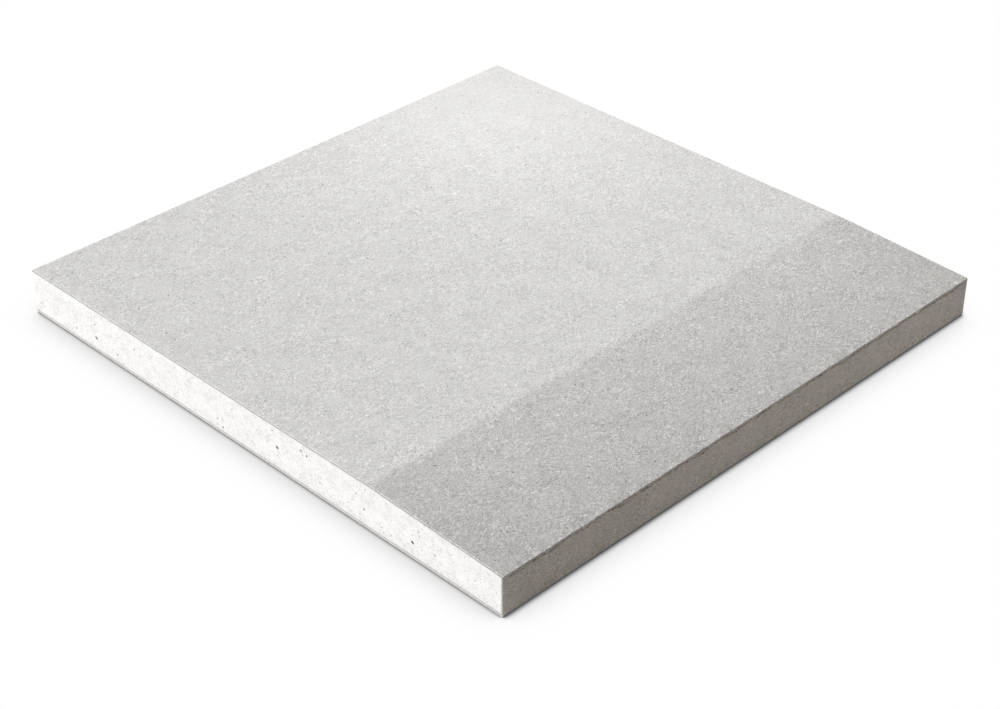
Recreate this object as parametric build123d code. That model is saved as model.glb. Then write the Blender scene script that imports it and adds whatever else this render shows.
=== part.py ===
"""Drywall sheet: a square piece of gypsum board, sawn bare on three sides, with one tapered edge.

The sheet lies on its back. X runs across it towards the tapered edge, Y runs along that edge, and Z
points up out of the face. The origin is at the middle of the footprint, on the surface it lies on.

Three layers make the sheet, and all of them have a constant section along Y:
    face_paper   covers the face, follows the taper down, wraps the edge and folds in under the core
    gypsum_core  fills the wrap, from sawn side to tapered edge
    back_paper   closes the back, lapped over the folded-in strip of face paper

The folded-in strip lies level with the back at the edge. Where the back paper laps over it, it steps
up into the core by the back paper's thickness, so that the whole back is level.
"""

import os

from build123d import *

# The sheet, in millimetres
sheet_width = 168.0
sheet_length = 166.0
sheet_thickness = 12.5

# The taper, a shallow slope in the face that leaves room for joint tape and filler
taper_width = 40.0
taper_depth = 1.5
taper_bend_radius = 80.0

# The papers, and how they meet at the wrapped edge
face_paper_thickness = 0.5
back_paper_thickness = 0.5
fold_inner_radius = 0.1
folded_strip_width = 30.0
back_paper_setback = 5.0
step_run = 0.8

# Places that the layers share
sawn_side_x = -sheet_width / 2
tapered_edge_x = sheet_width / 2
folded_strip_end_x = tapered_edge_x - folded_strip_width
back_paper_end_x = tapered_edge_x - back_paper_setback
step_head_x = back_paper_end_x + fold_inner_radius
step_foot_x = step_head_x + step_run
back_of_core_z = back_paper_thickness
fold_outer_radius = fold_inner_radius + face_paper_thickness


def face_paper_outer_line() -> Curve:
    """The face paper's outer line, in section: along the face, down the taper and the edge, in under."""
    folds = [fold_outer_radius, fold_outer_radius]
    step = [fold_outer_radius, fold_inner_radius]
    return FilletPolyline(
        (sawn_side_x, sheet_thickness),
        (tapered_edge_x - taper_width, sheet_thickness),
        (tapered_edge_x, sheet_thickness - taper_depth),
        (tapered_edge_x, 0),
        (step_foot_x, 0),
        (step_head_x, back_of_core_z),
        (folded_strip_end_x, back_of_core_z),
        radius=[taper_bend_radius, *folds, *step],
    )


def face_paper_section() -> Sketch:
    """The face paper's section, one paper thickness inwards from its outer line."""
    return make_face(offset(face_paper_outer_line(), face_paper_thickness, side=Side.RIGHT).edges())


def gypsum_core_section() -> Sketch:
    """The core's section: all that the outer line and the back enclose, less the face paper."""
    outer_line = face_paper_outer_line()
    back_corner = (sawn_side_x, back_of_core_z)
    closing_line = Polyline(outer_line @ 1, back_corner, outer_line @ 0)
    return make_face([*outer_line.edges(), *closing_line.edges()]) - face_paper_section()


def back_paper_section() -> Sketch:
    """The back paper's section, flat from the sawn side to its setback from the tapered edge."""
    width = back_paper_end_x - sawn_side_x
    return Pos(sawn_side_x, 0) * Rectangle(width, back_paper_thickness, align=(Align.MIN, Align.MIN))


def along_the_edge(section: Sketch) -> Part:
    """A layer of the sheet: its section, stood up across the sheet and run the sheet's whole length."""
    return extrude(Plane.XZ * section, amount=sheet_length / 2, both=True)


layers = {
    "face_paper": along_the_edge(face_paper_section()),
    "gypsum_core": along_the_edge(gypsum_core_section()),
    "back_paper": along_the_edge(back_paper_section()),
}

os.makedirs("parts", exist_ok=True)
for name, layer in layers.items():
    export_step(layer, f"parts/{name}.step")
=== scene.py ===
"""Dresses the drywall sheet: a foamed gypsum core, a wrapped face paper and a lapped back paper.

The sheet lies on its back in a plain studio. X runs across it towards the tapered edge, Y runs along
that edge and Z points up out of the face. Lengths are in metres.
"""

import logging
import math
import random
from dataclasses import dataclass, field
from enum import Enum
from typing import Any

import bmesh
import bpy
from mathutils import Euler, Matrix, Vector, noise


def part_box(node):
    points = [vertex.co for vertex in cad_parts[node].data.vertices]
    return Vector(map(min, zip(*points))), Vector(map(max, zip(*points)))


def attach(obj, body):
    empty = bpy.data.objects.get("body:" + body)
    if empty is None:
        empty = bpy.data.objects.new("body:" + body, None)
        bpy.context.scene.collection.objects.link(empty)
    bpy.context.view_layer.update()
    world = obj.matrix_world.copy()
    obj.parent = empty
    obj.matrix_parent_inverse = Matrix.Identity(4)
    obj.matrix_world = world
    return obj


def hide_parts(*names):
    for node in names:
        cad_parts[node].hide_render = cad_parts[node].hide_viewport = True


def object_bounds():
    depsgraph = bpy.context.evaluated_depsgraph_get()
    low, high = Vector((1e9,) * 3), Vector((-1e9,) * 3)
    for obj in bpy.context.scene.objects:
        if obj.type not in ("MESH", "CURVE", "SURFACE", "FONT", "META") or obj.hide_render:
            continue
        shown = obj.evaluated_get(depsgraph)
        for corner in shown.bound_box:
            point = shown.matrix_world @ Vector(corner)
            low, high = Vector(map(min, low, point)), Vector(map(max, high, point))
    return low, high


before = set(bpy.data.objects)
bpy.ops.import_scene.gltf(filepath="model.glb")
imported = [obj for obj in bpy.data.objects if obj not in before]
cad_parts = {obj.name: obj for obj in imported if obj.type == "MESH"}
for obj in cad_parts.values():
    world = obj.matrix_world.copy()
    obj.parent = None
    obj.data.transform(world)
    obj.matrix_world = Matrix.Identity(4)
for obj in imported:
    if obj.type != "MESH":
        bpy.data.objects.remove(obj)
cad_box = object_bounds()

MM = 0.001
BODY = "root"
ACROSS = Vector((1.0, 0.0, 0.0))
ALONG = Vector((0.0, 1.0, 0.0))
UP = Vector((0.0, 0.0, 1.0))
QUARTER_TURN = math.pi / 2
PAPER_RUN = "paper_run"
# The mesh attribute with the strengths of the painted shade at the fold, the lip and the crease.
CREASE_SHADE = "crease_shade"
NOISE_MIDDLE = 0.5
GLOSS = 0.25

Colour = tuple[float, float, float, float]
Span = tuple[float, float]
Pairs = tuple[tuple[float, float], ...]
Mesh = bmesh.types.BMesh
Vertex = bmesh.types.BMVert
Edge = bmesh.types.BMEdge
Object = bpy.types.Object
Material = bpy.types.Material
Socket = bpy.types.NodeSocket

SPECK_TONE: Colour = (0.18, 0.17, 0.16, 1.0)

log = logging.getLogger("drywall")


class Slot(Enum):
    """The record's material slots."""

    GYPSUM = "gypsum"
    FACE_PAPER = "face_paper"
    BACK_PAPER = "back_paper"


class Cut(Enum):
    """The three sawn sides, by the direction that each one faces."""

    FRONT = (0.0, -1.0, 0.0)
    REAR = (0.0, 1.0, 0.0)
    SIDE = (-1.0, 0.0, 0.0)


@dataclass(frozen=True)
class SheetSizes:
    """The sheet's places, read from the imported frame, and the sizes of its section."""

    low: Vector
    high: Vector
    core_low: Vector
    core_high: Vector
    back_low: Vector
    back_high: Vector
    taper_width: float = 40 * MM
    taper_depth: float = 1.5 * MM
    bend_radius: float = 80 * MM
    fold_inner_radius: float = 0.1 * MM
    folded_strip_width: float = 30 * MM
    step_run: float = 0.8 * MM

    @classmethod
    def from_frame(cls) -> "SheetSizes":
        """Reads the corners of the whole sheet, the core and the back paper."""
        return cls(*cad_box, *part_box("gypsum_core"), *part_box("back_paper"))

    @property
    def face_paper(self) -> float:
        """The face paper's thickness."""
        return self.high.z - self.core_high.z

    @property
    def back_paper(self) -> float:
        """The back paper's thickness."""
        return self.back_high.z - self.back_low.z

    @property
    def width(self) -> float:
        """The size across the sheet, from the sawn side to the tapered edge."""
        return self.high.x - self.low.x

    @property
    def length(self) -> float:
        """The size along the tapered edge."""
        return self.high.y - self.low.y

    @property
    def thickness(self) -> float:
        """The size from the back to the face."""
        return self.high.z - self.low.z

    @property
    def taper_slope(self) -> float:
        """The angle between the taper and the flat of the face."""
        return math.atan(self.taper_depth / self.taper_width)

    @property
    def fold_outer_radius(self) -> float:
        """The radius of the paper's outer side where it folds without a crease."""
        return self.fold_inner_radius + self.face_paper

    @property
    def step_slope(self) -> float:
        """How steeply the folded-in strip steps up over the back paper."""
        return math.atan(self.back_paper / self.step_run)

    @property
    def step_inset(self) -> float:
        """How far in from the tapered edge the step is at its full height."""
        return self.high.x - self.back_high.x - self.fold_inner_radius


class SectionPen:
    """Draws a section line in a bmesh, at the front end of the sheet, as straight runs and round bends."""

    def __init__(self, bm: Mesh, start: Vector) -> None:
        """Puts the pen down, heading across the sheet.

        Args:
            bm: The bmesh that gets the line.
            start: Where the line starts.
        """
        self.bm = bm
        self.heading = ACROSS.copy()
        self.run = 0.0
        self.depth = 0.0
        self.counting = 1
        self.places: dict[Vertex, tuple[float, float]] = {}
        self.tip = self.first = bm.verts.new(start)
        self.move_to(self.tip, 0.0)

    def move_to(self, vert: Vertex, distance: float) -> None:
        """Moves the tip to a vertex, and keeps the vertex's run along the paper and depth in it.

        Args:
            vert: The vertex.
            distance: How far it is from the one before.
        """
        self.run += self.counting * distance
        self.places[vert] = (self.run, self.depth)
        self.tip = vert

    def straight(self, distance: float, steps: int = 1) -> float:
        """Draws a straight run.

        Args:
            distance: The run's length.
            steps: How many edges it has.

        Returns:
            How far along the paper the pen is.
        """
        step = distance / steps
        for _ in range(steps):
            vert = bmesh.ops.extrude_vert_indiv(self.bm, verts=[self.tip])["verts"][0]
            bmesh.ops.translate(self.bm, verts=[vert], vec=self.heading * step)
            self.move_to(vert, step)
        return self.run

    def turn(self, angle: float) -> None:
        """Turns the heading on the spot, to the right for a positive angle."""
        self.heading.rotate(Matrix.Rotation(angle, 3, ALONG))

    def bend(self, radius: float, angle: float, steps: int) -> float:
        """Draws an arc.

        Args:
            radius: The arc's radius.
            angle: How far it turns the heading, to the right for a positive angle.
            steps: How many edges it has.

        Returns:
            How far along the paper the pen is.
        """
        drawn = len(self.bm.verts)
        bmesh.ops.spin(
            self.bm,
            geom=[self.tip],
            cent=self.tip.co - self.heading.cross(ALONG) * math.copysign(radius, angle),
            axis=ALONG,
            angle=angle,
            steps=steps,
            use_duplicate=False,
        )
        self.bm.verts.ensure_lookup_table()
        for vert in self.bm.verts[drawn:]:
            self.move_to(vert, radius * abs(angle) / steps)
        self.turn(angle)
        return self.run

    def turn_back(self, thickness: float) -> None:
        """Goes round the paper's end to its inner side, from where the runs count back.

        Args:
            thickness: The paper's thickness.
        """
        self.turn(QUARTER_TURN)
        self.counting = 0
        self.depth = thickness
        self.straight(thickness)
        self.counting = -1
        self.turn(QUARTER_TURN)

    def close(self) -> None:
        """Joins the line's end to its start."""
        bmesh.ops.contextual_create(self.bm, geom=[self.first, self.tip])


@dataclass(frozen=True)
class WrapSection:
    """The face paper's section: an outer line round the core, and an inner line back again."""

    sizes: SheetSizes
    crease_radius: float = 0.16 * MM
    crease_zone: float = 2.2 * MM
    crease_steps: int = 28
    flat_steps: int = 8
    slant_steps: int = 5
    edge_steps: int = 6
    strip_steps: int = 2
    bend_steps: int = 6
    inner_bend_steps: int = 4
    step_steps: int = 3

    def bend_tangent(self) -> float:
        """How far the taper's bend starts from the knee that it rounds."""
        return self.sizes.bend_radius * math.tan(self.sizes.taper_slope / 2)

    def fold_tangent(self, fold_radius: float) -> float:
        """How far the upper fold starts from the corner that it rounds."""
        return fold_radius * math.tan((QUARTER_TURN - self.sizes.taper_slope) / 2)

    def step_tangent(self, radius: float) -> float:
        """How far a bend of the step starts from the corner that it rounds."""
        return radius * math.tan(self.sizes.step_slope / 2)

    def flat(self) -> float:
        """The length of the flat of the face, up to where the paper starts to bend down."""
        return self.sizes.width - self.sizes.taper_width - self.bend_tangent()

    def slant(self, fold_radius: float) -> float:
        """The straight length of the taper, between its bend and a fold of that radius."""
        whole = self.sizes.taper_width / math.cos(self.sizes.taper_slope)
        return whole - self.bend_tangent() - self.fold_tangent(fold_radius)

    def edge(self, fold_radius: float) -> float:
        """The straight height of the edge, between a fold of that radius and the foot."""
        corner_height = self.sizes.thickness - self.sizes.taper_depth
        return corner_height - self.fold_tangent(fold_radius) - self.sizes.fold_outer_radius

    def foot_run_in(self) -> float:
        """The straight length under the edge, from the foot to the step."""
        foot = self.sizes.fold_outer_radius
        return self.sizes.step_inset - self.sizes.step_run - foot - self.step_tangent(foot)

    def riser(self) -> float:
        """The straight length of the step's slope."""
        tangents = self.step_tangent(self.sizes.fold_outer_radius + self.sizes.fold_inner_radius)
        return math.hypot(self.sizes.back_paper, self.sizes.step_run) - tangents

    def strip(self) -> float:
        """The straight length of the strip that the back paper covers."""
        covered = self.sizes.folded_strip_width - self.sizes.step_inset
        return covered - self.step_tangent(self.sizes.fold_inner_radius)

    def outer_line(self, pen: SectionPen) -> tuple[float, float, float, float]:
        """Draws the outer line, from the sawn side to the end of the folded-in strip.

        Args:
            pen: The pen, at the sawn side.

        Returns:
            How far along the paper the taper, the edge, the foot and the step start.
        """
        sizes = self.sizes
        taper_start = pen.straight(self.flat(), self.flat_steps)
        pen.bend(sizes.bend_radius, sizes.taper_slope, self.bend_steps)
        pen.straight(self.slant(self.crease_radius) - self.crease_zone, self.slant_steps)
        pen.straight(self.crease_zone, self.slant_steps)
        edge_start = pen.bend(self.crease_radius, QUARTER_TURN - sizes.taper_slope, self.bend_steps)
        pen.straight(self.crease_zone, self.crease_steps)
        foot_start = pen.straight(self.edge(self.crease_radius) - self.crease_zone, self.edge_steps)
        pen.bend(sizes.fold_outer_radius, QUARTER_TURN, self.bend_steps)
        step_start = pen.straight(self.foot_run_in(), self.strip_steps)
        pen.bend(sizes.fold_outer_radius, sizes.step_slope, self.step_steps)
        pen.straight(self.riser())
        pen.bend(sizes.fold_inner_radius, -sizes.step_slope, self.step_steps)
        pen.straight(self.strip(), self.strip_steps)
        return taper_start, edge_start, foot_start, step_start

    def inner_line(self, pen: SectionPen) -> None:
        """Draws the inner line, from the end of the folded-in strip back to the sawn side.

        Args:
            pen: The pen, heading towards the tapered edge.
        """
        sizes = self.sizes
        pen.straight(self.strip())
        pen.bend(sizes.fold_outer_radius, sizes.step_slope, self.step_steps)
        pen.straight(self.riser())
        pen.bend(sizes.fold_inner_radius, -sizes.step_slope, self.step_steps)
        pen.straight(self.foot_run_in())
        pen.bend(sizes.fold_inner_radius, -QUARTER_TURN, self.inner_bend_steps)
        pen.straight(self.edge(sizes.fold_outer_radius))
        pen.bend(sizes.fold_inner_radius, sizes.taper_slope - QUARTER_TURN, self.inner_bend_steps)
        pen.straight(self.slant(sizes.fold_outer_radius))
        pen.bend(sizes.bend_radius - sizes.face_paper, -sizes.taper_slope, self.bend_steps)
        pen.straight(self.flat())


@dataclass(frozen=True)
class Grain:
    """Noise with features of one size, and the span of its values over which a look changes."""

    size: float
    span: Span = (0.0, 1.0)
    detail: float = 3.0
    roughness: float = 0.5


@dataclass(frozen=True)
class Dots:
    """Scattered dots: the size of the cells that may hold one, the share that do, and the dots' look."""

    spacing: float
    radius: float
    share: float
    strength: float
    tone: Colour = SPECK_TONE
    smallest: float = 0.4
    soft_edge: float = 0.6


class Recipe:
    """A node tree, written as small steps that each give a socket."""

    def __init__(self, owner: Material | bpy.types.World) -> None:
        """Empties a node tree.

        Args:
            owner: The material or the world that has it.
        """
        owner.use_nodes = True
        self.owner = owner
        self.tree = owner.node_tree
        self.tree.nodes.clear()

    def node(self, kind: str, inputs: dict[str | int, Any], **settings: Any) -> bpy.types.Node:
        """Adds a node.

        Args:
            kind: The node's type, without the words that all shader nodes start with.
            inputs: A value or a socket for each input that is set.
            **settings: The node's own options.

        Returns:
            The new node.
        """
        made = self.tree.nodes.new("ShaderNode" + kind)
        for option, value in settings.items():
            setattr(made, option, value)
        for key, value in inputs.items():
            if isinstance(value, Socket):
                self.tree.links.new(value, made.inputs[key])
            else:
                made.inputs[key].default_value = value
        return made

    def place(self) -> Socket:
        """A point's place in the shared frame."""
        return self.node("TexCoord", {}).outputs["Object"]

    def attribute(self, name: str) -> Socket:
        """A vector that the mesh keeps at each vertex."""
        return self.node("Attribute", {}, attribute_name=name).outputs["Vector"]

    def part(self, vector: Any, axis: str) -> Socket:
        """One number of a vector."""
        return self.node("SeparateXYZ", {0: vector}).outputs[axis]

    def math(self, operation: str, *values: Any, clamp: bool = False) -> Socket:
        """The result of a sum on numbers or sockets."""
        return self.node("Math", dict(enumerate(values)), operation=operation, use_clamp=clamp).outputs[0]

    def times(self, first: Any, second: Any, clamp: bool = False) -> Socket:
        """The product of two numbers."""
        return self.math("MULTIPLY", first, second, clamp=clamp)

    def times_plus(self, first: Any, second: Any, third: Any) -> Socket:
        """The product of two numbers, with a third one added."""
        return self.math("MULTIPLY_ADD", first, second, third)

    def minus(self, first: Any, second: Any, clamp: bool = False) -> Socket:
        """The first number less the second."""
        return self.math("SUBTRACT", first, second, clamp=clamp)

    def power(self, value: Any, exponent: float, scale: float) -> Socket:
        """A number raised to a power, and then scaled."""
        return self.times(self.math("POWER", value, exponent), scale)

    def off_middle(self, value: Any) -> Socket:
        """How far noise lies from its middle, above or below."""
        return self.math("ABSOLUTE", self.minus(value, NOISE_MIDDLE))

    def ramp(self, value: Any, start: float, end: float, low: float = 0.0, high: float = 1.0) -> Socket:
        """A smooth step from low, where value is at start, to high, where it is at end."""
        inputs = {"Value": value, "From Min": start, "From Max": end, "To Min": low, "To Max": high}
        return self.node("MapRange", inputs, interpolation_type="SMOOTHSTEP").outputs["Result"]

    def blend(self, factor: Any, first: Any, second: Any, mode: str = "MIX") -> Socket:
        """Two colours mixed by a factor."""
        inputs = {0: factor, 6: first, 7: second}
        return self.node("Mix", inputs, data_type="RGBA", blend_type=mode).outputs[2]

    def tinted(self, factor: Any, colour: Any, tint: Any) -> Socket:
        """A colour multiplied by a tint, as far as the factor says."""
        return self.blend(factor, colour, tint, "MULTIPLY")

    def noise(self, at: Any, grain: Grain) -> Socket:
        """Noise between about 0 and 1."""
        look = {"Scale": 1 / grain.size, "Detail": grain.detail, "Roughness": grain.roughness}
        return self.node("TexNoise", {"Vector": at, **look}).outputs["Fac"]

    def grain(self, at: Any, grain: Grain, low: float = 0.0, high: float = 1.0) -> Socket:
        """Noise turned into smooth steps from low to high, over its span."""
        return self.ramp(self.noise(at, grain), *grain.span, low, high)

    def swing(self, at: Any, grain: Grain, contrast: float) -> Socket:
        """A factor that noise moves from a contrast below 1 to as much above it."""
        return self.grain(at, grain, 1.0 - contrast, 1.0 + contrast)

    def turned(self, at: Any, angle: float, squeeze: float) -> Socket:
        """Coordinates turned about the third axis and then squeezed along the first."""
        inputs = {"Vector": at, "Rotation": (0.0, 0.0, angle), "Scale": (1 / squeeze, 1.0, 1.0)}
        return self.node("Mapping", inputs, vector_type="TEXTURE").outputs["Vector"]

    def dotted(self, colour: Any, at: Any, dots: Dots) -> Socket:
        """Scatters dots over a colour.

        Args:
            colour: The colour.
            at: The coordinates, read as flat.
            dots: The dots.

        Returns:
            The colour with its dots.
        """
        inputs = {"Vector": at, "Scale": 1 / dots.spacing, "Randomness": 1.0}
        cells = self.node("TexVoronoi", inputs, voronoi_dimensions="2D", feature="F1")
        lot = self.node("SeparateColor", {0: cells.outputs["Color"]}).outputs[0]
        held = self.math("LESS_THAN", lot, dots.share)
        largest = dots.radius / dots.spacing
        reach = self.ramp(lot, 0.0, dots.share, dots.smallest * largest, largest)
        inside = self.minus(1.0, self.math("DIVIDE", cells.outputs["Distance"], reach), clamp=True)
        shown = self.times(self.ramp(inside, 0.0, dots.soft_edge), held)
        return self.blend(self.times(shown, dots.strength), colour, dots.tone)

    def end_distance(self, along: Any, sizes: SheetSizes) -> Socket:
        """How far in from the nearer end of the sheet a place along it lies."""
        return self.minus(sizes.high.y, self.math("ABSOLUTE", along))

    def sawn_depth(self, sizes: SheetSizes) -> Socket:
        """How far a point lies in from the nearest sawn side."""
        from_side = self.minus(self.part(self.place(), "X"), sizes.low.x)
        return self.math("MINIMUM", from_side, self.end_distance(self.part(self.place(), "Y"), sizes))

    def seen_as_white(self) -> Socket:
        """Tells the rays that show the background from those that only light the scene.

        Returns:
            1 for rays seen straight, in gloss or through glass, and 0 for other rays.
        """
        path = self.node("LightPath", {}).outputs
        seen = self.math("MAXIMUM", path["Is Camera Ray"], path["Is Glossy Ray"])
        return self.math("MAXIMUM", seen, path["Is Transmission Ray"])

    def matt(self, colour: Any, roughness: Any, height: Any, scale: float = 1.0) -> Material:
        """Ends the material in one dry shader.

        Args:
            colour: Its colour.
            roughness: Its roughness.
            height: Its relief.
            scale: What the relief is multiplied by to be in metres.

        Returns:
            The finished material.
        """
        bump = self.node("Bump", {"Strength": 1.0, "Distance": scale, "Height": height}).outputs["Normal"]
        inputs = {"Base Color": colour, "Roughness": roughness, "Specular IOR Level": GLOSS, "Normal": bump}
        shader = self.node("BsdfPrincipled", inputs)
        self.node("OutputMaterial", {"Surface": shader.outputs["BSDF"]})
        return self.owner


@dataclass(frozen=True)
class PaperFinish:
    """Recycled grey paper: matted fibres, faint blotches of warmer and cooler pulp, and dark specks."""

    name: str
    tone: Colour
    warm_tone: Colour
    cool_tone: Colour
    cut_tone: Colour
    fibre_gap: float = 0.28 * MM
    fibre_length: float = 2.8 * MM
    fibre_angles: tuple[float, ...] = (0.9, 1.5, 2.1)
    fibre_height: float = 0.08 * MM
    fibre_span: Span = (0.2, 1.2)
    fibre_contrast: float = 0.29
    groove_sharpness: float = 8.0
    curl_size: float = 1.2 * MM
    curl_reach: float = 1.6 * MM
    tufts: Grain = Grain(7 * MM, (0.35, 0.65))
    tuft_contrast: float = 0.25
    cockles: Grain = Grain(0.9 * MM, detail=2.0, roughness=0.6)
    cockle_height: float = 0.09 * MM
    blotches: Grain = Grain(3.6 * MM, (0.38, 0.62))
    plain_patches: Grain = Grain(16 * MM, (0.3, 0.7), detail=2.0)
    plain_share: float = 0.6
    clouds: Grain = Grain(8 * MM, (0.3, 0.7), detail=5.0, roughness=0.6)
    cloud_contrast: float = 0.03
    specks: Dots = Dots(6.5 * MM, 0.34 * MM, share=0.3, strength=0.85)
    hairs: Dots = Dots(2.42 * MM, 0.238 * MM, share=0.25, strength=0.35)
    hair_angle: float = 0.7
    hair_squeeze: float = 0.22
    # Painted highlight along the sawn rim, where the rounded edge catches the light.
    rim_highlight: Colour = (1.16, 1.16, 1.16, 1.0)
    rim_span: Span = (0.24 * MM, 0.16 * MM)
    dusty_tone: Colour = (0.92, 0.91, 0.895, 1.0)
    dust_start: float = 0.25 * MM
    cut_span: Span = (0.06 * MM, 0.03 * MM)
    roughness: float = 0.9
    polish: float = 0.1
    polish_span: Span = (0.3, 1.0)


class PaperRecipe(Recipe):
    """A paper's material."""

    def __init__(self, paper: PaperFinish, sizes: SheetSizes, run_name: str = "") -> None:
        """Starts the material with the paper's fibres.

        Args:
            paper: The paper's finish.
            sizes: The sheet's sizes.
            run_name: The attribute that holds the coordinates on the paper, if it isn't flat.
        """
        super().__init__(bpy.data.materials.new(paper.name))
        self.paper = paper
        self.sizes = sizes
        self.at = self.attribute(run_name) if run_name else self.place()
        self.height = self.fibres()
        self.roughening: Any = 1.0
        self.calm: Any = 0.0

    def fibres(self) -> Socket:
        """Mats the fibres: curled strands, mostly along the sheet, with grooves between them.

        Returns:
            Their height, from 0 where grooves cross to 1.
        """
        paper = self.paper
        curl = self.node("TexNoise", {"Vector": self.at, "Scale": 1 / paper.curl_size, "Detail": 1.0})
        inputs = {0: curl.outputs["Color"], 1: (paper.curl_reach,) * 3, 2: self.at}
        curled = self.node("VectorMath", inputs, operation="MULTIPLY_ADD").outputs[0]
        height = 0.0
        for angle in paper.fibre_angles:
            lying = self.turned(curled, angle, paper.fibre_gap / paper.fibre_length)
            from_groove = self.off_middle(self.noise(lying, Grain(paper.fibre_gap, detail=0.0)))
            strand = self.times(from_groove, paper.groove_sharpness, clamp=True)
            height = self.times_plus(strand, 1 / len(paper.fibre_angles), height)
        return height

    def pulp(self) -> Socket:
        """Colours the pulp: warmer and cooler blotches, with plain patches and faint clouds over them.

        Returns:
            The colour.
        """
        paper = self.paper
        blotched = self.blend(self.grain(self.at, paper.blotches), paper.cool_tone, paper.warm_tone)
        plain = self.grain(self.at, paper.plain_patches, 0.0, paper.plain_share)
        colour = self.blend(self.math("MAXIMUM", plain, self.calm), blotched, paper.tone)
        return self.tinted(1.0, colour, self.swing(self.at, paper.clouds, paper.cloud_contrast))

    def colour(self) -> Socket:
        """Colours the paper: its pulp, with tufts of fibres, specks and stray hairs.

        Returns:
            The colour.
        """
        paper = self.paper
        tufts = self.swing(self.at, paper.tufts, paper.tuft_contrast)
        contrast = self.times(self.times(tufts, self.roughening), paper.fibre_contrast)
        lift = self.times_plus(self.ramp(self.height, *paper.fibre_span, -1.0, 1.0), contrast, 1.0)
        colour = self.tinted(1.0, self.pulp(), lift)
        colour = self.dotted(colour, self.at, paper.specks)
        return self.dotted(colour, self.turned(self.at, paper.hair_angle, paper.hair_squeeze), paper.hairs)

    def sawn(self, colour: Socket, smooth: Any, rim_highlight: Any, cut_tone: Any) -> Socket:
        """Adds the sawn edges to the paper's colour: a painted highlight along the rim, and the bare cut.

        Args:
            colour: The paper's colour.
            smooth: 1 where the rim gets no painted highlight, and 0 where it gets it.
            rim_highlight: How much the painted highlight lightens the rim.
            cut_tone: The colour of the cut.

        Returns:
            The colour.
        """
        depth = self.sawn_depth(self.sizes)
        # Painted highlight along the rim, where it isn't on the wrapped edge.
        at_rim = self.minus(self.ramp(depth, *self.paper.rim_span), smooth, clamp=True)
        colour = self.tinted(at_rim, colour, rim_highlight)
        return self.blend(self.ramp(depth, *self.paper.cut_span), colour, cut_tone)

    def finished(self, colour: Socket) -> Material:
        """Ends the material, with its fibres on top of small cockles.

        Args:
            colour: The paper's colour.

        Returns:
            The material.
        """
        paper = self.paper
        raised = self.times(self.noise(self.at, paper.cockles), paper.cockle_height)
        relief = self.times_plus(self.height, paper.fibre_height, self.times(raised, self.roughening))
        polished = paper.roughness - paper.polish
        roughness = self.ramp(self.height, *paper.polish_span, paper.roughness, polished)
        return self.matt(colour, roughness, relief)


@dataclass(frozen=True)
class BondLine:
    """The thin grey line on the cut where the back paper is stuck to what lies above it."""

    tint: Colour = (0.65, 0.645, 0.64, 1.0)
    span: Span = (0.56 * MM, 0.28 * MM)

    def mark(self, mix: Recipe, colour: Any, sizes: SheetSizes) -> Socket:
        """A colour, darkened along the line."""
        above = mix.minus(mix.part(mix.place(), "Z"), sizes.back_high.z)
        return mix.tinted(mix.ramp(above, *self.span), colour, self.tint)


@dataclass(frozen=True)
class WrapFinish:
    """How the face paper changes on its way round: painted shade on the taper, a warm mottled edge darkened
    partly as painted shade, painted light at the edge's foot, painted shade at the fold, lip and crease, and
    painted highlights on the brow and rims.
    """

    # Painted shade: the taper is darkened past the knee, towards the edge and towards the front.
    knee_painted_shade: Colour = (0.918, 0.906, 0.902, 1.0)
    knee_lead: float = 0.9 * MM
    knee_length: float = 2.4 * MM
    taper_painted_shade: Colour = (0.896, 0.894, 0.887, 1.0)
    front_painted_shade: Colour = (0.955, 0.955, 0.955, 1.0)
    end_tint: Colour = (0.945, 0.945, 0.942, 1.0)
    end_length: float = 22 * MM
    taper_roughening: float = 0.25
    edge_smoothing: float = 0.1
    # Painted sheen: the grain's colour and relief are calmed towards the far corner, as if washed out by
    # glare.
    far_glare_calming: float = 0.5
    far_glare_span: Span = (75 * MM, 20 * MM)
    fold_length: float = 0.15 * MM
    fray: Grain = Grain(0.9 * MM)
    fray_reach: float = 1.2 * MM
    # The edge's own warmer mottle; its darkening is partly painted shade.
    warm_tone_and_shade: Colour = (0.884, 0.808, 0.744, 1.0)
    cool_tone_and_shade: Colour = (0.846, 0.818, 0.760, 1.0)
    # Painted light: the edge is lightened towards its foot.
    foot_painted_shading: Colour = (1.165, 1.165, 1.165, 1.0)
    mottle: Grain = Grain(3.6 * MM, (0.36, 0.64), roughness=0.6)
    grit: Dots = Dots(2.6 * MM, 0.2 * MM, share=0.3, strength=0.42)
    # Painted highlight on the brow, just before the fold.
    brow_highlight: Colour = (1.09, 1.09, 1.09, 1.0)
    brow_length: float = 0.7 * MM
    # Painted shade at the fold, the lip and the crease.
    fold_painted_shade: Colour = (0.79, 0.78, 0.77, 1.0)
    lip_painted_shade: Colour = (0.84, 0.83, 0.82, 1.0)
    crease_painted_shade: Colour = (0.24, 0.19, 0.17, 1.0)
    crease_fray_span: Span = (0.25, 0.95)
    crease_strengths: Span = (1.6, 0.3)
    # Painted highlight along the taper's sawn rim.
    rim_highlight: Colour = (1.36, 1.36, 1.36, 1.0)
    foot_cut_tone: Colour = (0.60, 0.59, 0.575, 1.0)
    strip_cut_tone: Colour = (0.88, 0.87, 0.855, 1.0)
    bond: BondLine = BondLine()


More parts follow.
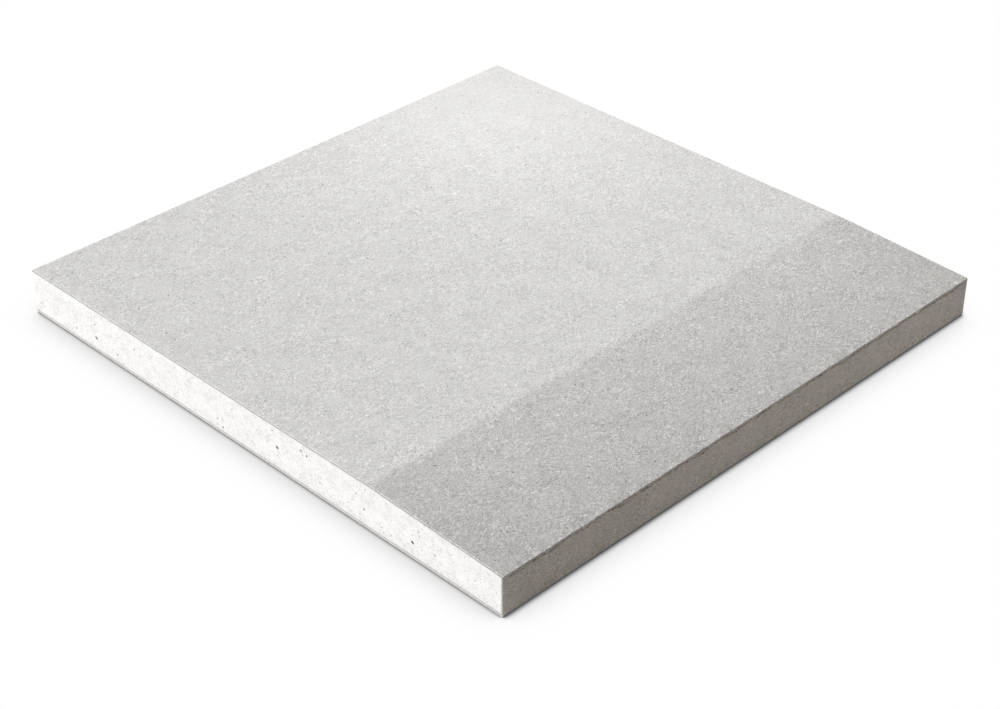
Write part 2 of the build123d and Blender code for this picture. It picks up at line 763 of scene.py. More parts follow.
class WrapRecipe(PaperRecipe):
    """The face paper's material, which changes as the paper goes round the core."""

    def __init__(self, sheet: "FacePaper", paper: PaperFinish, wrapped: WrapFinish) -> None:
        """Starts the material, and works out where a point lies on the paper.

        Args:
            sheet: The paper, already modelled.
            paper: The finish of its flat part.
            wrapped: How the finish changes on the way round.
        """
        super().__init__(paper, sheet.sizes, PAPER_RUN)
        self.sheet = sheet
        self.wrapped = wrapped
        self.run = self.part(self.at, "X")
        knee_start = sheet.taper_start - wrapped.knee_lead
        self.on_taper = self.ramp(self.run, knee_start, knee_start + wrapped.knee_length)
        fray = self.minus(self.noise(self.at, wrapped.fray), NOISE_MIDDLE)
        self.frayed_run = self.times_plus(fray, wrapped.fray_reach, self.run)
        self.on_edge = self.ramp(self.frayed_run, sheet.edge_start - wrapped.fold_length, sheet.edge_start)
        self.roughening = self.roughness_share()
        self.calm = self.on_taper

    def roughness_share(self) -> Socket:
        """Works out how rough the paper is: more so on the taper and less on the edge; towards the far
        corner the grain is calmed as painted sheen.

        Returns:
            The roughness, as a factor that is 1 on most of the face.
        """
        wrapped = self.wrapped
        far_corner = (0.0, self.sizes.high.y, 0.0)
        from_far = self.node("VectorMath", {0: self.at, 1: far_corner}, operation="DISTANCE")
        # Painted sheen: the grain is calmed towards the far corner.
        at_far = self.ramp(from_far.outputs["Value"], *wrapped.far_glare_span)
        rough = self.times_plus(self.on_taper, wrapped.taper_roughening, 1.0)
        rough = self.times_plus(self.on_edge, -wrapped.edge_smoothing, rough)
        return self.times_plus(at_far, -wrapped.far_glare_calming, rough)

    def tapered(self, colour: Socket) -> Socket:
        """Paints shade on the paper past the knee, deepening towards the edge and the front, and darkens it
        towards the taper's ends.

        Args:
            colour: The paper's colour.

        Returns:
            The colour of the face and its taper.
        """
        wrapped = self.wrapped
        along = self.part(self.at, "Y")
        # Painted shade past the knee, towards the edge and towards the front; darker towards the taper's
        # ends.
        colour = self.tinted(self.on_taper, colour, wrapped.knee_painted_shade)
        to_edge = self.ramp(self.run, self.sheet.taper_start, self.sheet.edge_start)
        colour = self.tinted(to_edge, colour, wrapped.taper_painted_shade)
        to_front = self.ramp(along, self.sizes.high.y, self.sizes.low.y)
        colour = self.tinted(self.times(self.on_taper, to_front), colour, wrapped.front_painted_shade)
        near_end = self.ramp(self.end_distance(along, self.sizes), wrapped.end_length, 0.0)
        return self.tinted(self.times(self.on_taper, near_end), colour, wrapped.end_tint)

    def edge(self, colour: Socket) -> Socket:
        """Makes the edge's colour: mottled and gritty, darkened partly as painted shade, with painted light
        towards the foot and painted shade at the fold, the lip and the crease.

        Args:
            colour: The taper's colour.

        Returns:
            The edge's colour.
        """
        wrapped = self.wrapped
        # The edge's warmer mottle, darkened partly as painted shade.
        mottle = self.blend(self.grain(self.at, wrapped.mottle), wrapped.cool_tone_and_shade, wrapped.warm_tone_and_shade)
        colour = self.dotted(self.tinted(1.0, colour, mottle), self.at, wrapped.grit)
        # Painted light towards the edge's foot.
        to_foot = self.ramp(self.run, self.sheet.edge_start, self.sheet.foot_start)
        colour = self.tinted(to_foot, colour, wrapped.foot_painted_shading)
        # Painted shade along the fold, the lip and the crease, from the strengths stored on the mesh.
        marks = self.attribute(CREASE_SHADE)
        frayed = self.ramp(self.height, *wrapped.crease_fray_span, *wrapped.crease_strengths)
        for axis, tint in (("X", wrapped.fold_painted_shade), ("Y", wrapped.lip_painted_shade), ("Z", wrapped.crease_painted_shade)):
            colour = self.tinted(self.times(self.part(marks, axis), frayed, clamp=True), colour, tint)
        return colour

    def browed(self, colour: Socket) -> Socket:
        """Paints a highlight on the brow, just before the fold.

        Args:
            colour: The taper's colour.

        Returns:
            The colour with the brow's painted highlight.
        """
        start = self.sheet.edge_start - self.wrapped.brow_length
        on_brow = self.ramp(self.frayed_run, start, start + self.wrapped.brow_length / 2)
        # Painted highlight along the brow.
        return self.tinted(on_brow, colour, self.wrapped.brow_highlight)

    def cut_tone(self) -> Socket:
        """Makes the colour of the cut: dusty towards the core, but not on the edge, the foot and the strip.

        Returns:
            The colour.
        """
        sheet, sizes, wrapped = self.sheet, self.sizes, self.wrapped
        dusty = self.ramp(self.part(self.at, "Z"), self.paper.dust_start, sizes.face_paper)
        dusty = self.minus(dusty, self.on_edge, clamp=True)
        tone = self.blend(dusty, self.paper.cut_tone, self.paper.dusty_tone)
        at_foot = self.ramp(self.run, sheet.foot_start, sheet.foot_start + sizes.fold_outer_radius)
        tone = self.blend(at_foot, tone, wrapped.foot_cut_tone)
        on_strip = self.ramp(self.run, sheet.step_start, sheet.step_start + sizes.step_run)
        return self.blend(on_strip, tone, wrapped.bond.mark(self, wrapped.strip_cut_tone, sizes))

    def mixed(self) -> Material:
        """Mixes the whole material.

        Returns:
            The material.
        """
        face = self.tapered(self.colour())
        colour = self.blend(self.on_edge, self.browed(face), self.edge(face))
        rim_highlight = self.blend(self.on_taper, self.paper.rim_highlight, self.wrapped.rim_highlight)
        return self.finished(self.sawn(colour, self.on_edge, rim_highlight, self.cut_tone()))


@dataclass(frozen=True)
class PlasterFinish:
    """Set, foamed gypsum: chalky white, with painted shade in its bubbles that deepens as they go in."""

    name: str = "gypsum_plaster"
    tone: Colour = (0.930, 0.918, 0.902, 1.0)
    grey_tone: Colour = (0.80, 0.792, 0.78, 1.0)
    greys: Grain = Grain(3.2 * MM, (0.40, 0.70), detail=4.0, roughness=0.6)
    grey_share: float = 0.45
    flecks: Grain = Grain(0.42 * MM, (0.54, 0.72), detail=1.0)
    veins: Grain = Grain(2.2 * MM, (0.04, 0.0))
    veined_span: Span = (0.42, 0.56)
    vein_tint: Colour = (0.86, 0.86, 0.86, 1.0)
    # Painted shade: the plaster darkens towards its foot, near the floor.
    foot_painted_shading: Colour = (0.94, 0.94, 0.94, 1.0)
    foot_height: float = 3.5 * MM
    # Pinholes are painted as small dots of shade.
    pinholes: Dots = Dots(1.2 * MM, 0.2 * MM, share=0.4, strength=0.85, tone=(0.42, 0.40, 0.37, 1.0))
    bond: BondLine = BondLine()
    # Painted shade in the pits, deepening behind the sawn face.
    pit_painted_shade: Colour = (0.13, 0.12, 0.11, 1.0)
    pit_span: Span = (0.02 * MM, 0.14 * MM)
    chalk: Grain = Grain(0.42 * MM, (0.3, 0.7), roughness=0.6)
    chalk_height: float = 0.03 * MM
    roughness: float = 0.95
    polish: float = 0.08

    def colour(self, mix: Recipe, at: Socket, sizes: SheetSizes) -> Socket:
        """Colours the plaster: greyish clouds, flecks and veins, painted shade towards the foot, pinholes
        painted as dots of shade, and painted shade in the pits.

        Args:
            mix: The recipe that gets the nodes.
            at: A point's place.
            sizes: The sheet's sizes.

        Returns:
            The colour.
        """
        clouds = mix.noise(at, self.greys)
        grey = mix.ramp(clouds, *self.greys.span, 0.0, self.grey_share)
        grey = mix.math("ADD", grey, mix.grain(at, self.flecks), clamp=True)
        colour = mix.blend(grey, self.tone, self.grey_tone)
        veins = mix.ramp(mix.off_middle(mix.noise(at, self.veins)), *self.veins.span)
        colour = mix.tinted(mix.times(veins, mix.ramp(clouds, *self.veined_span)), colour, self.vein_tint)
        # Painted shade towards the foot.
        foot = sizes.core_low.z
        to_foot = mix.ramp(mix.part(at, "Z"), foot + self.foot_height, foot)
        colour = mix.tinted(to_foot, colour, self.foot_painted_shading)
        round_the_sides = mix.math("ADD", mix.part(at, "X"), mix.part(at, "Y"))
        on_cut = mix.node("CombineXYZ", {0: round_the_sides, 1: mix.part(at, "Z")}).outputs[0]
        # Pinholes painted as dots of shade, then the bond line.
        colour = self.bond.mark(mix, mix.dotted(colour, on_cut, self.pinholes), sizes)
        # Painted shade: the pits darken with depth behind the sawn face.
        return mix.blend(mix.ramp(mix.sawn_depth(sizes), *self.pit_span), colour, self.pit_painted_shade)

    def make(self, sizes: SheetSizes) -> Material:
        """Mixes the material.

        Args:
            sizes: The sheet's sizes.

        Returns:
            The material.
        """
        mix = Recipe(bpy.data.materials.new(self.name))
        at = mix.place()
        chalk = mix.noise(at, self.chalk)
        roughness = mix.ramp(chalk, *self.chalk.span, self.roughness, self.roughness - self.polish)
        return mix.matt(self.colour(mix, at, sizes), roughness, chalk, self.chalk_height)


@dataclass(frozen=True)
class FloorFinish:
    """A white studio floor: it sends light back to the sheet, and shows white but for the sheet's shadow."""

    name: str = "studio_floor"
    tone: Colour = (0.58, 0.58, 0.58, 1.0)
    shadow_reach: float = 12 * MM
    shadow_power: float = 2.3
    shadow_depth: float = 1.4
    contact_reach: float = 2 * MM
    lit_contact_power: float = 4.0
    lit_contact_depth: float = 13.0
    shaded_contact_power: float = 2.0
    shaded_contact_depth: float = 3.6
    deepest_contact: float = 0.8
    corner_blend: float = 1 * MM
    sky_samples: int = 16

    def hidden(self, mix: Recipe, reach: float) -> Socket:
        """The share of the sky that things within reach hide from a point of the floor."""
        seen = mix.node("AmbientOcclusion", {"Distance": reach}, samples=self.sky_samples).outputs["AO"]
        return mix.minus(1.0, seen)

    def make(self, sizes: SheetSizes) -> Material:
        """Mixes the material.

        Args:
            sizes: The sheet's sizes.

        Returns:
            The material, whose shadow reaches further on the tapered edge's side, away from the light.
        """
        mix = Recipe(bpy.data.materials.new(self.name))
        here = mix.place()
        past_edge = mix.minus(mix.part(here, "X"), sizes.high.x)
        past_front = mix.minus(sizes.low.y, mix.part(here, "Y"))
        shaded = mix.ramp(mix.minus(past_edge, past_front), -self.corner_blend, self.corner_blend)
        near = self.hidden(mix, self.contact_reach)
        lit_contact = mix.power(near, self.lit_contact_power, self.lit_contact_depth)
        shaded_contact = mix.power(near, self.shaded_contact_power, self.shaded_contact_depth)
        contact = mix.math("MINIMUM", mix.blend(shaded, lit_contact, shaded_contact), self.deepest_contact)
        shadow = mix.power(self.hidden(mix, self.shadow_reach), self.shadow_power, self.shadow_depth)
        kept = mix.times(mix.minus(1.0, contact), mix.minus(1.0, shadow))
        shown = mix.node("Emission", {"Color": kept})
        lit = mix.node("BsdfDiffuse", {"Color": self.tone})
        floor = mix.node("MixShader", {0: mix.seen_as_white(), 1: lit.outputs[0], 2: shown.outputs[0]})
        mix.node("OutputMaterial", {"Surface": floor.outputs[0]})
        return mix.owner


def mesh_object(name: str, bm: Mesh) -> Object:
    """Turns a finished bmesh into an object at the origin.

    Args:
        name: The object's name.
        bm: The bmesh, which is freed.

    Returns:
        The object, linked to the scene.
    """
    mesh = bpy.data.meshes.new(name)
    bm.to_mesh(mesh)
    bm.free()
    made = bpy.data.objects.new(name, mesh)
    bpy.context.scene.collection.objects.link(made)
    return made


def round_edges(bm: Mesh, edges: list[Edge], radius: float, segments: int) -> None:
    """Rounds edges of a bmesh.

    Args:
        bm: The bmesh.
        edges: The edges.
        radius: How far the rounding reaches from each edge.
        segments: How many faces it has across.
    """
    bmesh.ops.bevel(
        bm,
        geom=edges,
        offset=radius,
        offset_type="OFFSET",
        segments=segments,
        profile=0.5,
        affect="EDGES",
        material=-1,
    )


def shade(made: Object, sharp_angle: float) -> None:
    """Shades an object smooth, but for edges sharper than an angle."""
    made.data.shade_smooth()
    made.data.set_sharp_from_angle(angle=sharp_angle)


def limited(value: float, highest: float = 1.0) -> float:
    """A number, kept between 0 and the highest one allowed."""
    return min(max(value, 0.0), highest)


def bulge(offset: float, width: float) -> float:
    """A rounded profile across a line: 1 on the line, and next to nothing two widths away."""
    return math.exp(-((offset / width) ** 2))


def waver(place: float, waves: Pairs) -> float:
    """A wandering number at a place, about 0 on average, from the length and the height of each wave."""
    return sum(height * noise.noise(Vector((place / length, length / MM, 0.0))) for length, height in waves)


@dataclass
class FacePaper:
    """The paper on the face: down the taper, round the edge, and folded in under the core."""

    sizes: SheetSizes
    wrap: WrapSection
    sweep_steps: int = 600
    lip_height: float = 0.8 * MM
    lip_waves: Pairs = ((6 * MM, 0.45 * MM), (1.7 * MM, 0.25 * MM))
    crease_depth: float = 0.14 * MM
    crease_width: float = 0.12 * MM
    front_press: float = 0.75
    press_gain: float = 0.6
    press_waves: Pairs = ((5 * MM, 1.3), (1.3 * MM, 0.9), (0.6 * MM, 0.5))
    deepest_press: float = 1.7
    fold_sag: float = 0.4 * MM
    sag_share: float = 0.4
    sag_waves: Pairs = ((6 * MM, 0.9), (1.8 * MM, 0.6), (0.8 * MM, 0.4))
    dent_share: float = 0.6
    corner_ease: float = 4 * MM
    rim: float = 0.2 * MM
    rim_segments: int = 2
    sharp_angle: float = math.radians(20)
    taper_start: float = field(default=0.0, init=False)
    edge_start: float = field(default=0.0, init=False)
    foot_start: float = field(default=0.0, init=False)
    step_start: float = field(default=0.0, init=False)

    def build(self) -> Object:
        """Models the paper and gives it its coordinates.

        Returns:
            The paper's object.
        """
        sizes = self.sizes
        bm = bmesh.new()
        run_layer = bm.verts.layers.float_vector.new(PAPER_RUN)
        mark_layer = bm.verts.layers.float_vector.new(CREASE_SHADE)
        pen = SectionPen(bm, Vector((sizes.low.x, sizes.low.y, sizes.high.z)))
        self.taper_start, self.edge_start, self.foot_start, self.step_start = self.wrap.outer_line(pen)
        pen.turn_back(sizes.face_paper)
        self.wrap.inner_line(pen)
        pen.close()
        for vert, (run, depth) in pen.places.items():
            vert[run_layer] = (run, 0.0, depth)
        front = set(bm.verts)
        swept = bmesh.ops.extrude_edge_only(bm, edges=bm.edges[:])["geom"]
        rear = [item for item in swept if isinstance(item, Vertex)]
        bmesh.ops.translate(bm, verts=rear, vec=ALONG * sizes.length)
        lengthwise = [edge for edge in bm.edges if (edge.verts[0] in front) != (edge.verts[1] in front)]
        bmesh.ops.subdivide_edges(bm, edges=lengthwise, cuts=self.sweep_steps - 1, use_grid_fill=True)
        bmesh.ops.edgeloop_fill(bm, edges=[edge for edge in bm.edges if edge.is_boundary])
        bmesh.ops.recalc_face_normals(bm, faces=bm.faces[:])
        self.crease(bm, run_layer, mark_layer)
        round_edges(bm, self.sawn_edges(bm, run_layer), self.rim, self.rim_segments)
        for vert in bm.verts:
            run, _, depth = vert[run_layer]
            vert[run_layer] = (run, vert.co.y, depth)
            vert.co.x = min(vert.co.x, sizes.high.x)
        made = mesh_object("face_paper_wrap", bm)
        shade(made, self.sharp_angle)
        return made

    def press(self, along: float) -> float:
        """How hard the crease is pressed in at a place along the edge: harder to the rear, and unevenly."""
        even = self.front_press + self.press_gain * (along - self.sizes.low.y) / self.sizes.length
        return limited(even + waver(along, self.press_waves), self.deepest_press)

    def sag(self, along: float) -> float:
        """How far the fold sags at a place along the edge."""
        return self.fold_sag * limited(self.sag_share + waver(along, self.sag_waves))

    def crease(self, bm: Mesh, run_layer: Any, mark_layer: Any) -> None:
        """Presses an uneven crease into the edge, under a lip that sags a little, and stores the strengths
        of the painted shade at the fold, the lip and the crease.

        Args:
            bm: The paper.
            run_layer: The layer that holds each vertex's run along the paper and its depth in it.
            mark_layer: The layer that gets the strengths of the painted shade at the fold, the lip and the
                crease.
        """
        reach = self.wrap.crease_zone
        for vert in bm.verts:
            run, _, depth = vert[run_layer]
            below = run - self.edge_start
            if depth > 0 or abs(below) >= reach:
                continue
            along = vert.co.y
            whole = limited((self.sizes.length / 2 - abs(along)) / self.corner_ease)
            middle = self.lip_height + waver(along, self.lip_waves)
            groove = whole * self.press(along) * bulge(below - middle, self.crease_width)
            sag = whole * self.sag(along) * (1.0 - abs(below) / reach)
            vert.co.x -= groove * self.crease_depth + self.dent_share * sag
            vert.co.z -= sag
            # Strengths of the painted shade at the fold, the lip and the crease.
            lip_start = limited((below + self.wrap.crease_radius) / self.wrap.crease_radius)
            lip_end = limited((middle + self.crease_width / 2 - below) / self.crease_width)
            fold = bulge(below - self.crease_width, self.crease_width)
            vert[mark_layer] = (fold, whole * lip_start * lip_end, groove)

    def sawn_edges(self, bm: Mesh, run_layer: Any) -> list[Edge]:
        """Finds the outer edges that the saw left on the paper.

        Args:
            bm: The paper.
            run_layer: The layer that holds each vertex's run along the paper and its depth in it.

        Returns:
            The edges at both ends of the sheet, as far as its foot, and along its sawn side.
        """
        found = []
        for edge in bm.edges:
            first, second = edge.verts
            if max(first[run_layer].z, second[run_layer].z) > 0 or first[run_layer].x > self.foot_start:
                continue
            at_side = max(first.co.x, second.co.x) - self.sizes.low.x < self.rim
            at_end = min(abs(first.co.y), abs(second.co.y)) > self.sizes.length / 2 - self.rim
            if at_side or at_end:
                found.append(edge)
        return found

    def dress(self, made: Object, paper: PaperFinish, wrapped: WrapFinish) -> None:
        """Gives the paper its finish and its place in the frame.

        Args:
            made: The paper's object.
            paper: The finish of its flat part.
            wrapped: How the finish changes on the way round.
        """
        made.data.materials.append(WrapRecipe(self, paper, wrapped).mixed())
        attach(made, BODY)
        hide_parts("face_paper")


@dataclass(frozen=True)
class Bubble:
    """A void that the saw has opened: its place along the cut, height above the back, size and lie."""

    place: float
    height: float
    radius: float
    length_share: float
    turn: float = -1.1


@dataclass(frozen=True)
class BubbleKind:
    """Bubbles of about one size, scattered over a sawn side."""

    count: int
    smallest: float
    largest: float


@dataclass(frozen=True)
class FrontVoids:
    """Bubbles of one size that stand out on the front cut, with their places and heights in millimetres."""

    radius: float
    length_share: float
    places_mm: Pairs

    def bubbles(self) -> list[Bubble]:
        """Lists the bubbles."""
        return [Bubble(x * MM, z * MM, self.radius, self.length_share) for x, z in self.places_mm]


@dataclass
class GypsumCore:
    """The foamed core, with the bubbles that show on its sawn sides."""

    sizes: SheetSizes
    wrap: WrapSection
    seed: int = 12
    coarse_kinds: tuple[BubbleKind, ...] = (
        BubbleKind(5, 0.22 * MM, 0.27 * MM),
        BubbleKind(24, 0.13 * MM, 0.19 * MM),
    )
    fine_kind: BubbleKind = BubbleKind(90, 0.08 * MM, 0.14 * MM)
    long_voids: FrontVoids = FrontVoids(0.31 * MM, 1.9, ((26, 4), (95.5, 6.5), (140.5, 4.5)))
    round_voids: FrontVoids = FrontVoids(
        0.23 * MM,
        1.25,
        ((17.5, 3), (26, 8), (34.5, 3), (42, 8), (73.5, 3.5), (75.5, 2), (104, 10), (106, 9.5), (125, 5)),
    )
    faint_voids: FrontVoids = FrontVoids(
        0.16 * MM,
        1.25,
        (
            (37, 1.5), (49, 9), (58.5, 3.5), (79.5, 9), (94, 10.5), (119.5, 4), (121, 5.5), (122.5, 8),
            (123.5, 3), (125.5, 10.5), (130.5, 3), (142.5, 8.5), (147.5, 5),
        ),
    )
    length_shares: tuple[float, ...] = (1.0, 1.0, 1.3, 1.8)
    turn_span: Span = (-1.5, -0.6)
    sunk_span: Span = (0.15, 0.5)
    inward_share: float = 1.5
    clearance: float = 1.3
    dent_size: float = 1.3
    dent_share: float = 0.18
    smooth_radius: float = 0.13 * MM
    plain_subdivisions: int = 2
    smooth_subdivisions: int = 3
    corner_round: float = 0.25 * MM
    corner_segments: int = 3
    margin: float = 1.4 * MM
    sharp_angle: float = math.radians(35)

    def build(self) -> Object:
        """Models the core and cuts its bubbles.

        Returns:
            The core's object.
        """
        core = mesh_object("gypsum_core_foam", self.solid())
        chance = random.Random(self.seed)
        leftovers = [core.data]
        for cut in Cut:
            voids = mesh_object("bubbles", self.voids(cut, chance))
            leftovers.append(voids.data)
            opened = core.modifiers.new("bubbles", "BOOLEAN")
            opened.operation = "DIFFERENCE"
            opened.solver = "MANIFOLD"
            opened.object = voids
        evaluated = core.evaluated_get(bpy.context.evaluated_depsgraph_get())
        core.data = bpy.data.meshes.new_from_object(evaluated)
        core.data.name = core.name
        core.modifiers.clear()
        for mesh in leftovers:
            bpy.data.meshes.remove(mesh)
        shade(core, self.sharp_angle)
        return core

    def solid(self) -> Mesh:
        """Models the core as the papers hold it, before its bubbles are cut.

        Returns:
            The core's bmesh.
        """
        sizes = self.sizes
        strip_end = sizes.high.x - sizes.folded_strip_width
        bm = bmesh.new()
        pen = SectionPen(bm, Vector((strip_end, sizes.low.y, sizes.core_low.z + sizes.face_paper)))
        self.wrap.inner_line(pen)
        pen.turn(-QUARTER_TURN)
        pen.straight(sizes.core_high.z - sizes.core_low.z)
        pen.turn(-QUARTER_TURN)
        pen.straight(strip_end - sizes.low.x)
        pen.close()
        end = bmesh.ops.edgeloop_fill(bm, edges=bm.edges[:])["faces"]
        swept = bmesh.ops.extrude_face_region(bm, geom=end)["geom"]
        verts = [item for item in swept if isinstance(item, Vertex)]
        bmesh.ops.translate(bm, verts=verts, vec=ALONG * sizes.length)
        bmesh.ops.recalc_face_normals(bm, faces=bm.faces[:])
        uprights = []
        for edge in bm.edges:
            first, second = (vert.co for vert in edge.verts)
            at_side = max(first.x, second.x) - sizes.low.x < self.corner_round
            if at_side and abs(first.z - second.z) > sizes.thickness / 2:
                uprights.append(edge)
        round_edges(bm, uprights, self.corner_round, self.corner_segments)
        return bm

    def voids(self, cut: Cut, chance: random.Random) -> Mesh:
        """Models every bubble that the saw has opened on one side.

        Args:
            cut: The sawn side.
            chance: The source of the random numbers.

        Returns:
            The bubbles' bmesh.
        """
        bm = bmesh.new()
        for bubble in self.bubbles(cut, chance):
            self.add_bubble(bm, cut, bubble, chance)
        return bm

    def bubbles(self, cut: Cut, chance: random.Random) -> list[Bubble]:
        """Lists a sawn side's bubbles: on the front the ones that stand out, and then scattered ones.

        Args:
            cut: The sawn side.
            chance: The source of the random numbers.

        Returns:
            The bubbles, none of which overlap.
        """
        placed, kinds = [], (*self.coarse_kinds, self.fine_kind)
        if cut is Cut.FRONT:
            placed = self.long_voids.bubbles() + self.round_voids.bubbles() + self.faint_voids.bubbles()
            kinds = (self.fine_kind,)
        length = self.sizes.length if cut is Cut.SIDE else self.sizes.width
        top = self.sizes.core_high.z - self.sizes.taper_depth
        for kind in kinds:
            wanted = len(placed) + kind.count
            while len(placed) < wanted:
                bubble = Bubble(
                    place=chance.uniform(self.margin, length - self.margin),
                    height=chance.uniform(self.margin, top - self.sizes.face_paper),
                    radius=chance.uniform(kind.smallest, kind.largest),
                    length_share=chance.choice(self.length_shares),
                    turn=chance.uniform(*self.turn_span),
                )
                if all(self.apart(bubble, other) for other in placed):
                    placed.append(bubble)
        return placed

    def apart(self, first: Bubble, second: Bubble) -> bool:
        """Whether two bubbles keep clear of each other."""
        reach = first.radius * first.length_share + second.radius * second.length_share
        return math.hypot(first.place - second.place, first.height - second.height) > self.clearance * reach

    def add_bubble(self, bm: Mesh, cut: Cut, bubble: Bubble, chance: random.Random) -> None:
        """Adds one bubble to the bmesh, sunk a little behind the sawn side.

        Args:
            bm: The bmesh that gets it.
            cut: The sawn side that opens it.
            bubble: The bubble.
            chance: The source of the random numbers.
        """
        sizes = self.sizes
        inward = -Vector(cut.value)
        along = inward.cross(UP)
        side_start = Vector((sizes.low.x, sizes.high.y, 0.0))
        starts = {Cut.FRONT: sizes.low, Cut.REAR: sizes.high, Cut.SIDE: side_start}
        sunk = bubble.radius * chance.uniform(*self.sunk_span)
        centre = starts[cut] + along * bubble.place + inward * sunk
        centre.z = sizes.low.z + bubble.height
        facing = Matrix((along, inward, UP)).transposed().to_4x4()
        lie = Euler((0.0, bubble.turn, 0.0)).to_matrix().to_4x4()
        stretch = Matrix.Diagonal((1.0, self.inward_share, bubble.length_share, 1.0))
        smooth = bubble.radius >= self.smooth_radius
        made = bmesh.ops.create_icosphere(
            bm,
            subdivisions=self.smooth_subdivisions if smooth else self.plain_subdivisions,
            radius=bubble.radius,
            matrix=Matrix.Translation(centre) @ facing @ lie @ stretch,
        )
        for vert in made["verts"]:
            dent = noise.noise(vert.co / (self.dent_size * bubble.radius))
            vert.co = centre + (vert.co - centre) * (1.0 + self.dent_share * dent)

    def dress(self, made: Object, plaster: PlasterFinish) -> None:
        """Gives the core its finish and its place in the frame.

        Args:
            made: The core's object.
            plaster: The finish.
        """
        made.data.materials.clear()
        made.data.materials.append(plaster.make(self.sizes))
        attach(made, BODY)
        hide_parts("gypsum_core")


@dataclass
class BackPaper:
    """The paper on the back, from the sawn side to its lap over the folded-in face paper."""

    sizes: SheetSizes
    rim: float = 0.1 * MM
    rim_segments: int = 2
    rim_angle: float = math.radians(45)
    lap_wander: float = 0.25 * MM
    lap_sway: float = 0.5
    lap_waves: Pairs = ((14 * MM, 0.5), (2.5 * MM, 0.2))
    lap_ease: float = 6 * MM
    lap_steps: int = 160
    sharp_angle: float = math.radians(20)

    def build(self) -> Object:
        """Models the paper.

        Returns:
            The paper's object.
        """
        low, high = self.sizes.back_low, self.sizes.back_high
        bm = bmesh.new()
        size = Matrix.Diagonal((*(high - low), 1.0))
        bmesh.ops.create_cube(bm, size=1.0, matrix=Matrix.Translation((low + high) / 2) @ size)
        lengthwise = [edge for edge in bm.edges if edge.calc_length() > self.sizes.length - self.rim]
        bmesh.ops.subdivide_edges(bm, edges=lengthwise, cuts=self.lap_steps, use_grid_fill=True)
        for vert in bm.verts:
            if vert.co.x > high.x - self.rim:
                inset = limited((self.sizes.length / 2 - abs(vert.co.y)) / self.lap_ease)
                sway = self.lap_sway + waver(vert.co.y, self.lap_waves)
                feather = (high.z - vert.co.z) / self.sizes.back_paper
                vert.co.x += feather * self.sizes.step_run - max(sway, 0.0) * inset * self.lap_wander
        sharp = [edge for edge in bm.edges if edge.calc_face_angle() > self.rim_angle]
        round_edges(bm, sharp, self.rim, self.rim_segments)
        made = mesh_object("back_paper_lap", bm)
        shade(made, self.sharp_angle)
        return made

    def dress(self, made: Object, paper: PaperFinish) -> None:
        """Gives the paper its finish and its place in the frame.

        Args:
            made: The paper's object.
            paper: The finish.
        """
        mix = PaperRecipe(paper, self.sizes)
        colour = mix.sawn(mix.colour(), 0.0, paper.rim_highlight, paper.cut_tone)
        made.data.materials.append(mix.finished(colour))
        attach(made, BODY)
        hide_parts("back_paper")


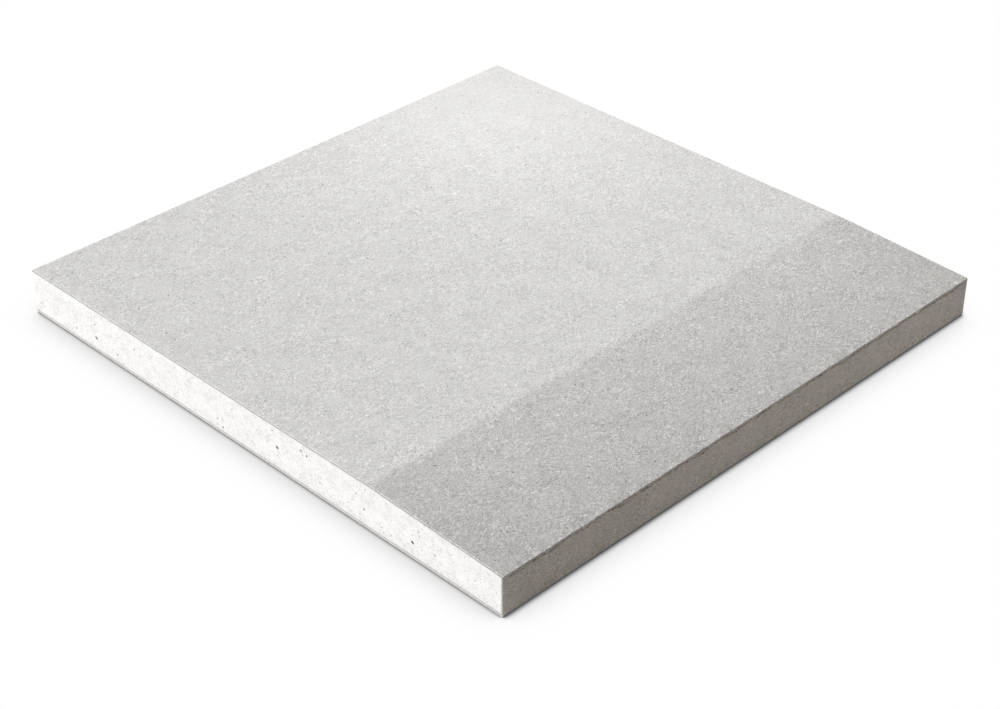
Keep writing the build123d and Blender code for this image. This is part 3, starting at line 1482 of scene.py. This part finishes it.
@dataclass
class Studio:
    """A white floor, a broad lamp from the left, two small ones behind and even light all round."""

    sizes: SheetSizes
    floor_size: float = 6.0
    sky: float = 0.40
    key_direction: Vector = field(default_factory=lambda: Vector((-0.49, -0.64, 0.59)))
    key_distance: float = 6.0
    key_size: float = 2.4
    key_power: float = 355.0
    glow_place: Vector = field(default_factory=lambda: Vector((-61.0, 58.0, 85.0)) * MM)
    glow_radius: float = 15 * MM
    glow_power: float = 0.062
    fill_place: Vector = field(default_factory=lambda: Vector((350.0, 250.0, 120.0)) * MM)
    fill_radius: float = 60 * MM
    fill_power: float = 0.55
    camera_azimuth: float = math.radians(45.0)
    camera_elevation: float = math.radians(33.74)
    camera_distance: float = 521.0 * MM
    camera_target: Vector = field(default_factory=lambda: Vector((13.5, -13.4, 0.0)) * MM)
    picture_width: float = 1000.0
    focal_pixels: float = 2102.0
    sensor_width: float = 36.0
    nearest_seen: float = 10 * MM

    def build(self) -> None:
        """Sets up the floor, the lamps, the world and the camera."""
        self.floor()
        self.world()
        self.key_lamp()
        self.small_lamp("glow", self.glow_place, self.glow_radius, self.glow_power)
        self.small_lamp("fill", self.fill_place, self.fill_radius, self.fill_power)
        self.camera()
        bpy.context.scene.view_settings.view_transform = "Standard"

    def floor(self) -> None:
        """Lays the floor."""
        bm = bmesh.new()
        bmesh.ops.create_grid(bm, x_segments=1, y_segments=1, size=self.floor_size / 2)
        made = mesh_object("floor", bm)
        made.data.materials.append(FloorFinish().make(self.sizes))

    def world(self) -> None:
        """Makes the world white to look at and dimmer as a light."""
        mix = Recipe(bpy.data.worlds.new("studio"))
        strength = mix.ramp(mix.seen_as_white(), 0.0, 1.0, self.sky, 1.0)
        light = mix.node("Background", {"Strength": strength})
        mix.node("OutputWorld", {"Surface": light.outputs["Background"]})
        bpy.context.scene.world = mix.owner

    def key_lamp(self) -> None:
        """Hangs the broad lamp, which faces the sheet."""
        light = bpy.data.lights.new("key", "AREA")
        light.size = self.key_size
        light.energy = self.key_power
        made = self.hang(light, self.key_direction.normalized() * self.key_distance)
        made.rotation_euler = self.key_direction.to_track_quat("Z", "Y").to_euler()

    def small_lamp(self, name: str, place: Vector, radius: float, power: float) -> None:
        """Hangs a small lamp that shines all round.

        Args:
            name: The lamp's name.
            place: Where it hangs.
            radius: Its size.
            power: Its power in watts.
        """
        light = bpy.data.lights.new(name, "POINT")
        light.shadow_soft_size = radius
        light.energy = power
        self.hang(light, place)

    def hang(self, light: bpy.types.Light, place: Vector) -> Object:
        """Puts a lamp in its place, where the camera doesn't see it.

        Args:
            light: The lamp.
            place: Where it hangs.

        Returns:
            The lamp's object.
        """
        made = bpy.data.objects.new(light.name, light)
        made.location = place
        made.visible_camera = False
        bpy.context.scene.collection.objects.link(made)
        return made

    def camera(self) -> None:
        """Puts the camera at the photograph's viewing angle."""
        lens = bpy.data.cameras.new("camera")
        lens.sensor_width = self.sensor_width
        lens.lens = self.focal_pixels / self.picture_width * self.sensor_width
        lens.clip_start = self.nearest_seen
        back = Vector((0.0, -math.cos(self.camera_elevation), math.sin(self.camera_elevation)))
        back.rotate(Matrix.Rotation(self.camera_azimuth, 3, UP))
        made = bpy.data.objects.new("camera", lens)
        made.location = self.camera_target + back * self.camera_distance
        made.rotation_euler = back.to_track_quat("Z", "Y").to_euler()
        bpy.context.scene.collection.objects.link(made)
        bpy.context.scene.camera = made


FACE_FINISH = PaperFinish(
    name="grey_face_paper",
    tone=(0.765, 0.756, 0.743, 1.0),
    warm_tone=(0.775, 0.7545, 0.741, 1.0),
    cool_tone=(0.754, 0.759, 0.7465, 1.0),
    cut_tone=(0.50, 0.49, 0.48, 1.0),
)
BACK_FINISH = PaperFinish(
    name="brown_back_paper",
    tone=(0.43, 0.40, 0.36, 1.0),
    warm_tone=(0.45, 0.40, 0.345, 1.0),
    cool_tone=(0.40, 0.385, 0.355, 1.0),
    cut_tone=(0.67, 0.66, 0.645, 1.0),
    fibre_gap=0.45 * MM,
    specks=Dots(6.5 * MM, 0.34 * MM, share=0.5, strength=0.85),
)


def main() -> None:
    """Builds and dresses the sheet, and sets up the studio."""
    sizes = SheetSizes.from_frame()
    wrap = WrapSection(sizes)
    for layer, finishes in (
        (GypsumCore(sizes, wrap), (PlasterFinish(),)),
        (FacePaper(sizes, wrap), (FACE_FINISH, WrapFinish())),
        (BackPaper(sizes), (BACK_FINISH,)),
    ):
        made = layer.build()
        layer.dress(made, *finishes)
        log.info("%s: %d faces", made.name, len(made.data.polygons))
    Studio(sizes).build()


if __name__ == "__main__":
    logging.basicConfig(level=logging.INFO)
    main()
